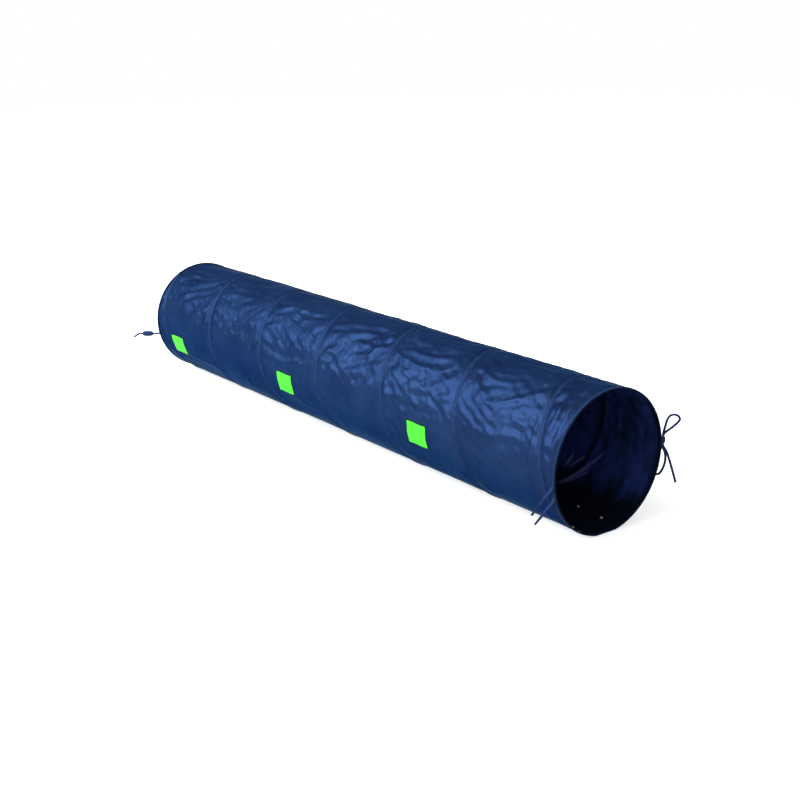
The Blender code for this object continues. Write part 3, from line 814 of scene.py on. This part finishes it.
raise_bump(tree, shader, creased, 0.48, 0.003)

cloth_back, tree, shader = nodes_for(
    "navy polyester inner face", (0.02, 0.045, 0.16), 0.42, 0.4, 0, (0.3, 0.4, 0.7),
)
where = object_place(tree)
crinkle = noise(tree, where, Scale=16, Detail=4, Distortion=0.7)
raise_bump(tree, shader, crinkle.outputs[0], 0.4, 0.004)
drawn = tree.nodes.new("ShaderNodeMapping")
drawn.inputs["Scale"].default_value = (17, 5, 5)
drawn.inputs["Rotation"].default_value = (0, 0.25, 0)
tree.links.new(where, drawn.inputs["Vector"])
streaks = noise(tree, drawn.outputs[0], Scale=1, Detail=3).outputs[0]
streaked = graded(tree, streaks, (0.38, (0.012, 0.029, 0.08)), (0.66, (0.03, 0.06, 0.3)))
# Painted shade: a dark band on the inside along the spring, where the casing stops the light that comes
# through the thin cloth.
off_band = ranged(tree, kept_number(tree, "band"), (0.004, 0.022))
casing_shadowed = mixed(tree, off_band, (0.007, 0.013, 0.036), streaked)
# Painted shade: the inner face goes nearly black low down, on the floor inside, where little light reaches.
height = tree.nodes.new("ShaderNodeSeparateXYZ")
tree.links.new(where, height.inputs[0])
uneven = calculated(tree, "MULTIPLY_ADD", streaks, 0.09, height.outputs["Z"])
floor_shaded = mixed(tree, ranged(tree, uneven, (0.095, 0.165)), (0.006, 0.009, 0.02), casing_shadowed)
# Painted highlight: the crests of the folds inside are painted a pale lilac, as if they caught the light.
wear_and_highlight = mixed(tree, kept_number(tree, "crest"), floor_shaded, (0.2, 0.2, 0.6))
tree.links.new(wear_and_highlight, shader.inputs["Base Color"])

flat_round = 2 * math.pi * CLOTH_RADIUS
cloth = grid(
    "cloth", CLOTH_COLUMNS, CLOTH_ROWS,
    lambda across, back: place(back * TUNNEL_LENGTH, SEAM_ANGLE + 360 * across, CLOTH_RADIUS),
    (flat_round, TUNNEL_LENGTH),
)
weld()
cloth.data.materials.append(cloth_face)
cloth.data.materials.append(cloth_back)
sew_to_spring(cloth)
spots = along_and_angle(points_of(cloth.data))
# How far each point lies from the spring, for the painted shade along it inside.
keep_number(cloth.data, "band", band_distance(*spots))
# How high the folds inside stand, for the painted highlight on their crests.
keep_number(cloth.data, "crest", np.clip(-fold_height(*spots, INNER_FOLDS) / 0.006, 0, 1))
keep_shading(cloth.data)
for bay in range(1, BAYS + 1):
    low = (bay - 1) * BAY_LENGTH
    skin = cut_along(cloth, f"skin_{bay}", low, low + BAY_LENGTH)
    finish_shell(skin, CLOTH_WALL, 1)
    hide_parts(f"skin_bay_{bay}")
    fold_with_bay(skin, bay)
for end, low, bay in (("front", 0.0, 1), ("rear", TUNNEL_LENGTH - HEM_WIDTH, BAYS)):
    hem = cut_along(cloth, f"{end}_hem_fold", low, low + HEM_WIDTH)
    points = points_of(hem.data)
    along, angle = along_and_angle(points)
    inward = np.stack([0 * angle, np.cos(np.radians(angle)), -np.sin(np.radians(angle))], axis=1)
    hem.data.vertices.foreach_set("co", (points + inward * HEM_GAP).ravel())
    finish_shell(hem, HEM_WALL, 1)
    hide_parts(f"{end}_hem")
    fold_with_bay(hem, bay)
bpy.data.objects.remove(cloth)


# The spring
# One steel wire of 3 mm, wound in a long spiral, that runs inside the casing from mouth to mouth.

WIRE_THICKNESS = 0.003
WIRE_RADIUS = 0.2966
WIRE_STEPS = 96
WIRE_SIDES = 10
WIRE_CHART = (0.0094, 1.9)

steel, tree, shader = nodes_for("spring steel", (0.32, 0.32, 0.33), 0.32, 1)
wear_and_highlight = noise(tree, object_place(tree), Scale=60).outputs[0]
colour = graded(tree, wear_and_highlight, (0, (0.22, 0.22, 0.23)), (1, (0.42, 0.42, 0.43)))
tree.links.new(colour, shader.inputs["Base Color"])


def spring_along(angle):
    """How far back the spring is at an angle that goes on counting through its turns."""
    return SPRING_ALONG + SPRING_PITCH * (angle - SPRING_START) / 360


def spring_angle(along):
    """The angle that the spring has reached at a distance from the near mouth."""
    return SPRING_START + 360 * (along - SPRING_ALONG) / SPRING_PITCH


for bay in range(1, BAYS + 1):
    low = max(SPRING_START, spring_angle((bay - 1) * BAY_LENGTH))
    high = min(SPRING_END, spring_angle(bay * BAY_LENGTH))

    def wire_surface(across, on, low=low, high=high):
        """The surface of one turn of the wire, for shares across it and along it."""
        angle = low + (high - low) * on
        turn = 2 * math.pi * across
        along = spring_along(angle) + WIRE_THICKNESS / 2 * np.sin(turn)
        return place(along, angle, WIRE_RADIUS + WIRE_THICKNESS / 2 * np.cos(turn))

    wire = grid(f"wire_{bay}", WIRE_SIDES, WIRE_STEPS, wire_surface, WIRE_CHART)
    weld(capped=True)
    bpy.ops.object.shade_smooth()
    wire.data.materials.append(steel)
    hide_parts(f"spring_turn_{bay}")
    fold_with_bay(wire, bay)
for name in ("front_ring", "rear_ring", "front_crimp", "rear_crimp"):
    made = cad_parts[name]
    made.data.materials.clear()
    made.data.materials.append(steel)


# The casing of the spring
# A strip of the same cloth, 22 mm wide, sewn over the wire with a row of stitches along each side of it.

CASING_WIDTH = 0.022
CASING_TOP = 0.2989
CASING_EDGE = 0.2964
CASING_COLUMNS = 14
CASING_ROWS = 1500
CASING_WALL = 0.0004
CASING_LENGTH = 11.9
STITCH_LENGTH = 0.0028
STITCH_PITCH = 0.0036
STITCH_STEP = math.degrees(STITCH_PITCH / TUBE_RADIUS)
STITCH_HALF_WIDTH = 0.0004
STITCH_RISE = 0.0003
STITCH_SUNK = 0.0001

casing_cloth, tree, shader = nodes_for("navy casing strip", (0.02, 0.041, 0.115), 0.5, 0.4, 0, EDGE_TINT)
chart = cloth_chart(tree)
weave_bump(tree, shader, chart, 800, 0.4)
shades = noise(tree, chart, Scale=40).outputs[0]
colour = graded(tree, shades, (0.35, (0.011, 0.023, 0.07)), (0.65, (0.0155, 0.0325, 0.097)))
tree.links.new(colour, shader.inputs["Base Color"])
thread, tree, shader = nodes_for("navy sewing thread", (0.012, 0.022, 0.07), 0.5, clear_gloss=0.04)
twist = tree.nodes.new("ShaderNodeTexWave")
twist.inputs["Scale"].default_value = 900
tree.links.new(object_place(tree), twist.inputs["Vector"])
colour = graded(tree, twist.outputs[0], (0, (0.008, 0.015, 0.05)), (1, (0.016, 0.03, 0.095)))
tree.links.new(colour, shader.inputs["Base Color"])


def stitches(piece, spots, runs, material):
    """Adds a row of thread stitches to a piece: short lengths of thread, sunk at both ends."""
    runs = runs / np.linalg.norm(runs, axis=1, keepdims=True)
    ups = spots * np.array([0, 1, 1]) - np.array([0, 0, AXIS_HEIGHT])
    ups = ups / np.linalg.norm(ups, axis=1, keepdims=True)
    side = np.cross(runs, ups) * STITCH_HALF_WIDTH
    rise = ups * STITCH_RISE
    half = runs * STITCH_LENGTH / 2
    sunk = spots - ups * STITCH_SUNK
    corners = [sunk - half, spots + side, spots + rise, spots - side, spots - rise, sunk + half]
    verts = np.stack(corners, axis=1).reshape(-1, 3)
    faces = []
    for first in range(0, len(verts), len(corners)):
        for one, two in ((1, 2), (2, 3), (3, 4), (4, 1)):
            faces.append((first, first + one, first + two))
            faces.append((first + 5, first + two, first + one))
    mesh = bpy.data.meshes.new("thread")
    mesh.from_pydata(verts.tolist(), [], faces)
    mesh.materials.append(material)
    mesh.uv_layers.new(name="cloth")
    row = bpy.data.objects.new("thread", mesh)
    bpy.context.scene.collection.objects.link(row)
    make_active(piece)
    row.select_set(True)
    bpy.ops.object.join()


def casing_surface(across, on):
    """The outer face of the casing, for shares across it and along it: a ridge with uneven edges."""
    angle = SPRING_START + (SPRING_END - SPRING_START) * on
    aside = (across - 0.5) * CASING_WIDTH
    ridge = np.cos(np.pi * (across - 0.5)) ** 2
    wobble = 0.0005 * np.sin(angle * 1.3) + 0.0004 * np.sin(angle * 3.1 + 1)
    from_floor = np.abs((angle - SEAM_ANGLE + 180) % 360 - 180)
    along = spring_along(angle)
    from_end = np.minimum(along, TUNNEL_LENGTH - along)
    lifted = smooth_rise(from_floor, 14, 50) * smooth_rise(from_end, 0.02, 0.05)
    edge = CASING_EDGE - (CASING_LIFT - 0.0001) * (1 - lifted)
    edge = edge + 0.0003 * (1 + np.sin(angle * 2.3 + across * 5)) * (1 - ridge)
    tucked = 0.0015 * smooth_rise(np.abs(aside), 0.0092, CASING_WIDTH / 2)
    radius = edge + (CASING_TOP - edge) * ridge - tucked
    along = along + aside + wobble
    return place(np.clip(along, 0.0002, TUNNEL_LENGTH - 0.0002), angle, radius)


casing = grid("casing", CASING_COLUMNS, CASING_ROWS, casing_surface, (CASING_WIDTH, CASING_LENGTH))
casing.data.materials.append(casing_cloth)
keep_shading(casing.data)
for bay in range(1, BAYS + 1):
    low = (bay - 1) * BAY_LENGTH
    strip = cut_along(casing, f"casing_{bay}", low, low + BAY_LENGTH)
    finish_shell(strip, CASING_WALL, 0)
    first = max(SPRING_START, spring_angle(low + 0.012))
    last = min(SPRING_END, spring_angle(low + BAY_LENGTH - 0.012))
    on = np.arange(first, last, STITCH_STEP)
    share = (on - SPRING_START) / (SPRING_END - SPRING_START)
    for across in (0.1, 0.9):
        here = casing_surface(across, share)
        stitches(strip, here, casing_surface(across, share + 1e-5) - here, thread)
    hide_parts(f"casing_turn_{bay}")
    fold_with_bay(strip, bay)
bpy.data.objects.remove(casing)


# The binding of each mouth
# A strip of the cloth folded over the wire ring and sewn through, so that the mouth keeps its round shape.

BINDING_TOP = 0.2999
BINDING_BOTTOM = 0.2917
BINDING_COLUMNS = 20
BINDING_ROWS = 420
BINDING_GIRTH = 0.04
BINDING_LENGTH = 1.88
BINDING_SHADED = (0.004, 0.008, 0.026)
BINDING_BLUE = (0.01, 0.026, 0.084)

binding_cloth, tree, shader = nodes_for("navy binding", (0.011, 0.026, 0.085), 0.5, clear_gloss=0.02)
chart = cloth_chart(tree)
weave_bump(tree, shader, chart, 700, 0.6)
split = tree.nodes.new("ShaderNodeSeparateXYZ")
tree.links.new(chart, split.inputs[0])
around = calculated(tree, "DIVIDE", split.outputs["X"], BINDING_GIRTH)
# Painted shade: the binding is painted dark all round except on its outer face, as its front and inner faces
# lie in shade.
colour = graded(
    tree, around, (0.06, BINDING_SHADED), (0.14, BINDING_BLUE), (0.38, BINDING_BLUE), (0.47, BINDING_SHADED),
)
tree.links.new(colour, shader.inputs["Base Color"])


def binding_surface(front):
    """The surface of the near binding or the far one, for shares round its section and round the mouth."""
    def surface(across, on):
        angle = SEAM_ANGLE + 360 * on
        turn = 2 * math.pi * across
        half = BINDING_WIDTH / 2
        middle = half if front else TUNNEL_LENGTH - half
        wide = np.sign(np.cos(turn)) * np.abs(np.cos(turn)) ** 0.6
        high = np.sign(np.sin(turn)) * np.abs(np.sin(turn)) ** 0.6
        pucker = 1 - 0.05 * (1 + np.sin(angle * 1.9) * np.sin(angle * 0.7 + 2))
        middle_radius = (BINDING_TOP + BINDING_BOTTOM) / 2
        radius = middle_radius + (BINDING_TOP - BINDING_BOTTOM) / 2 * high * pucker
        return place(middle + (half - 0.0001) * wide, angle, radius)

    return surface


for end, body, across in (("front", "front_end", 0.36), ("rear", "turn_6", 0.14)):
    surface = binding_surface(end == "front")
    binding = grid(
        f"{end}_edge", BINDING_COLUMNS, BINDING_ROWS, surface, (BINDING_GIRTH, BINDING_LENGTH),
    )
    weld()
    bpy.ops.object.shade_smooth()
    binding.data.materials.append(binding_cloth)
    share = np.arange(0, 360, STITCH_STEP) / 360
    here = surface(across, share)
    stitches(binding, here, surface(across, share + 1e-5) - here, thread)
    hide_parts(f"{end}_binding")
    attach(binding, body)


# The green squares
# Neon green woven squares, sewn flat on the side that faces the trainer.

SQUARE_HEIGHT = 0.113
SQUARE_RISE = 0.0009
SQUARE_WALL = 0.0006
SQUARE_CELLS = (45, 37)
EDGING_CELLS = 2

green_cloth, tree, shader = nodes_for("neon green cloth", (0.13, 0.95, 0.08), 0.55, clear_gloss=0.1)
chart = cloth_chart(tree)
weave_bump(tree, shader, chart, 700, 0.35)
faded = noise(tree, chart, Scale=30).outputs[0]
colour = graded(tree, faded, (0.3, (0.065, 0.83, 0.033)), (0.7, (0.085, 0.93, 0.046)))
tree.links.new(colour, shader.inputs["Base Color"])
# Painted glow: the squares give off a little light of their own, so that they look brighter than their colour
# alone allows.
shader.inputs["Emission Color"].default_value = (0.05, 0.95, 0.03, 1)
shader.inputs["Emission Strength"].default_value = 0.06
edge_thread, tree, shader = nodes_for("green square edging", (0.003, 0.02, 0.012), 0.6, clear_gloss=0.05)
weave_bump(tree, shader, cloth_chart(tree), 350, 0.8)

for bay, (spot, back, angle) in SQUARES.items():
    middle = (bay - 0.5) * BAY_LENGTH + back

    def square_surface(across, on, middle=middle, angle=angle):
        """The outer face of a square, for shares across it and up it, with slightly wavy edges."""
        aside = 2 * across - 1
        up = 2 * on - 1
        along = middle + (aside + 0.02 * np.sin(5 * up + 40 * middle) * np.abs(aside)) * SQUARE_LENGTH / 2
        turn = angle + (up + 0.025 * np.sin(4 * aside + 30 * middle) * np.abs(up)) * SQUARE_ARC / 2
        rim = np.maximum(np.abs(aside), np.abs(up))
        rise = SQUARE_RISE - 0.0006 * smooth_rise(rim, 0.93, 1)
        return place(along, turn, slack_radius(along, turn) + rise)

    square = grid(f"{spot}_square", *SQUARE_CELLS, square_surface, (SQUARE_LENGTH, SQUARE_HEIGHT))
    square.data.materials.append(green_cloth)
    square.data.materials.append(edge_thread)
    for face in square.data.polygons:
        row, column = divmod(face.index, SQUARE_CELLS[0])
        inside = min(column, SQUARE_CELLS[0] - 1 - column, row, SQUARE_CELLS[1] - 1 - row)
        if inside < EDGING_CELLS:
            face.material_index = 1
    keep_shading(square.data)
    finish_shell(square, SQUARE_WALL, 0)
    for fixed in (0.03, 0.97):
        for size, lengthwise in ((SQUARE_LENGTH, 1), (SQUARE_HEIGHT, 0)):
            row = np.linspace(0.04, 0.96, round(size / STITCH_PITCH))
            across, on = (row, fixed + 0 * row) if lengthwise else (fixed + 0 * row, row)
            here = square_surface(across, on)
            after = square_surface(across + 1e-4 * lengthwise, on + 1e-4 * (1 - lengthwise))
            stitches(square, here, after - here, edge_thread)
    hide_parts(f"reflector_{spot}")
    fold_with_bay(square, bay)


# The eyelets
# Brass eyelets set through the floor of the tunnel near its mouth, for the pegs or straps that hold it down.

EYELETS = ((0.1045, -105.6), (0.243, -107.6), (0.1005, -72.8))
EYELET_PROFILE = (
    # (distance from its middle, height above the cloth)
    (0.0036, -0.0009), (0.0035, 0.0006), (0.0038, 0.0013), (0.0046, 0.0017), (0.0056, 0.0016),
    (0.0066, 0.0012), (0.0075, 0.0006), (0.0078, 0.0001), (0.0074, -0.0004),
)

brass, tree, shader = nodes_for("eyelet brass", (0.86, 0.8, 0.6), 0.3, 1)
wear_and_highlight = noise(tree, object_place(tree), Scale=400).outputs[0]
colour = graded(tree, wear_and_highlight, (0.3, (0.7, 0.62, 0.42)), (1, (0.95, 0.92, 0.8)))
tree.links.new(colour, shader.inputs["Base Color"])

rings = len(EYELET_PROFILE)
for number, (back, angle) in enumerate(EYELETS, 1):
    bpy.ops.object.select_all(action="DESELECT")
    bpy.ops.mesh.primitive_grid_add(x_subdivisions=rings, y_subdivisions=48, size=1)
    eyelet = bpy.context.object
    eyelet.name = f"brass_{number}"
    spot = Vector(place(back, angle, CLOTH_RADIUS - CLOTH_WALL))
    up = Vector((0, 0, AXIS_HEIGHT)) - Vector((0, spot.y, spot.z))
    turned = up.to_track_quat("Z", "X").to_matrix()
    for vert in eyelet.data.vertices:
        reach, rise = EYELET_PROFILE[min(round((vert.co.x + 0.5) * rings), rings - 1)]
        turn = 2 * math.pi * (vert.co.y + 0.5)
        vert.co = spot + turned @ Vector((reach * math.cos(turn), reach * math.sin(turn), rise))
    weld()
    bpy.ops.object.shade_smooth()
    eyelet.data.materials.append(brass)
    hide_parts(f"eyelet_{number}")
    fold_with_bay(eyelet, 1)


# The floor and the light
# A plain white floor and surround, with soft light from above and from the camera's left.

FLOOR_SEEN = 0.93
FLOOR_BOUNCE = 0.3
FLOOR_GLOW = 0.6
AMBIENT = 0.42
AIM = (0, 0, 0.2)


def shown_rays(tree):
    """1 for rays that show the background itself: to the camera, in a reflection or through something."""
    rays = tree.nodes.new("ShaderNodeLightPath")
    total = rays.outputs["Is Camera Ray"]
    for name in ("Is Glossy Ray", "Is Transmission Ray"):
        total = calculated(tree, "MAXIMUM", total, rays.outputs[name])
    return total


bpy.ops.object.select_all(action="DESELECT")
bpy.ops.mesh.primitive_plane_add(size=60, location=(0, 0, -0.002))
floor = bpy.context.object
floor.name = "floor"
pale, tree, shader = nodes_for("pale floor", (FLOOR_SEEN,) * 3, 0.9, clear_gloss=0)
shown = shown_rays(tree)
tree.links.new(mixed(tree, shown, (FLOOR_BOUNCE,) * 3, (FLOOR_SEEN,) * 3), shader.inputs["Base Color"])
shader.inputs["Emission Color"].default_value = (1, 1, 1, 1)
tree.links.new(calculated(tree, "MULTIPLY", shown, FLOOR_GLOW), shader.inputs["Emission Strength"])
floor.data.materials.append(pale)

world = bpy.data.worlds.new("surround")
bpy.context.scene.world = world
world.use_nodes = True
tree = world.node_tree
ambient = tree.nodes["Background"]
ambient.inputs[0].default_value = (1, 1, 1, 1)
ambient.inputs[1].default_value = AMBIENT
white = tree.nodes.new("ShaderNodeBackground")
white.inputs[0].default_value = (1, 1, 1, 1)
white.inputs[1].default_value = 1
either = tree.nodes.new("ShaderNodeMixShader")
tree.links.new(shown_rays(tree), either.inputs[0])
tree.links.new(ambient.outputs[0], either.inputs[1])
tree.links.new(white.outputs[0], either.inputs[2])
tree.links.new(either.outputs[0], tree.nodes["World Output"].inputs[0])

for name, spot, size, power, colour in (
    ("window", (-2.4, -5.1, 5.1), (9.0, 6.5), 1480, (0.9, 1, 0.93)),
    ("fill", (3.0, -5.0, 4.0), (3.0, 3.0), 30, (1, 1, 1)),
    ("front", (5.6, -2.6, 2.2), (1.5, 1.5), 22, (1, 1, 1)),
):
    bpy.ops.object.light_add(type="AREA", location=spot)
    lamp = bpy.context.object
    lamp.name = name
    lamp.data.shape = "RECTANGLE"
    lamp.data.size, lamp.data.size_y = size
    lamp.data.energy = power
    lamp.data.color = colour
    lamp.rotation_euler = (Vector(AIM) - Vector(spot)).to_track_quat("-Z", "Y").to_euler()

bpy.context.scene.view_settings.view_transform = "Standard"
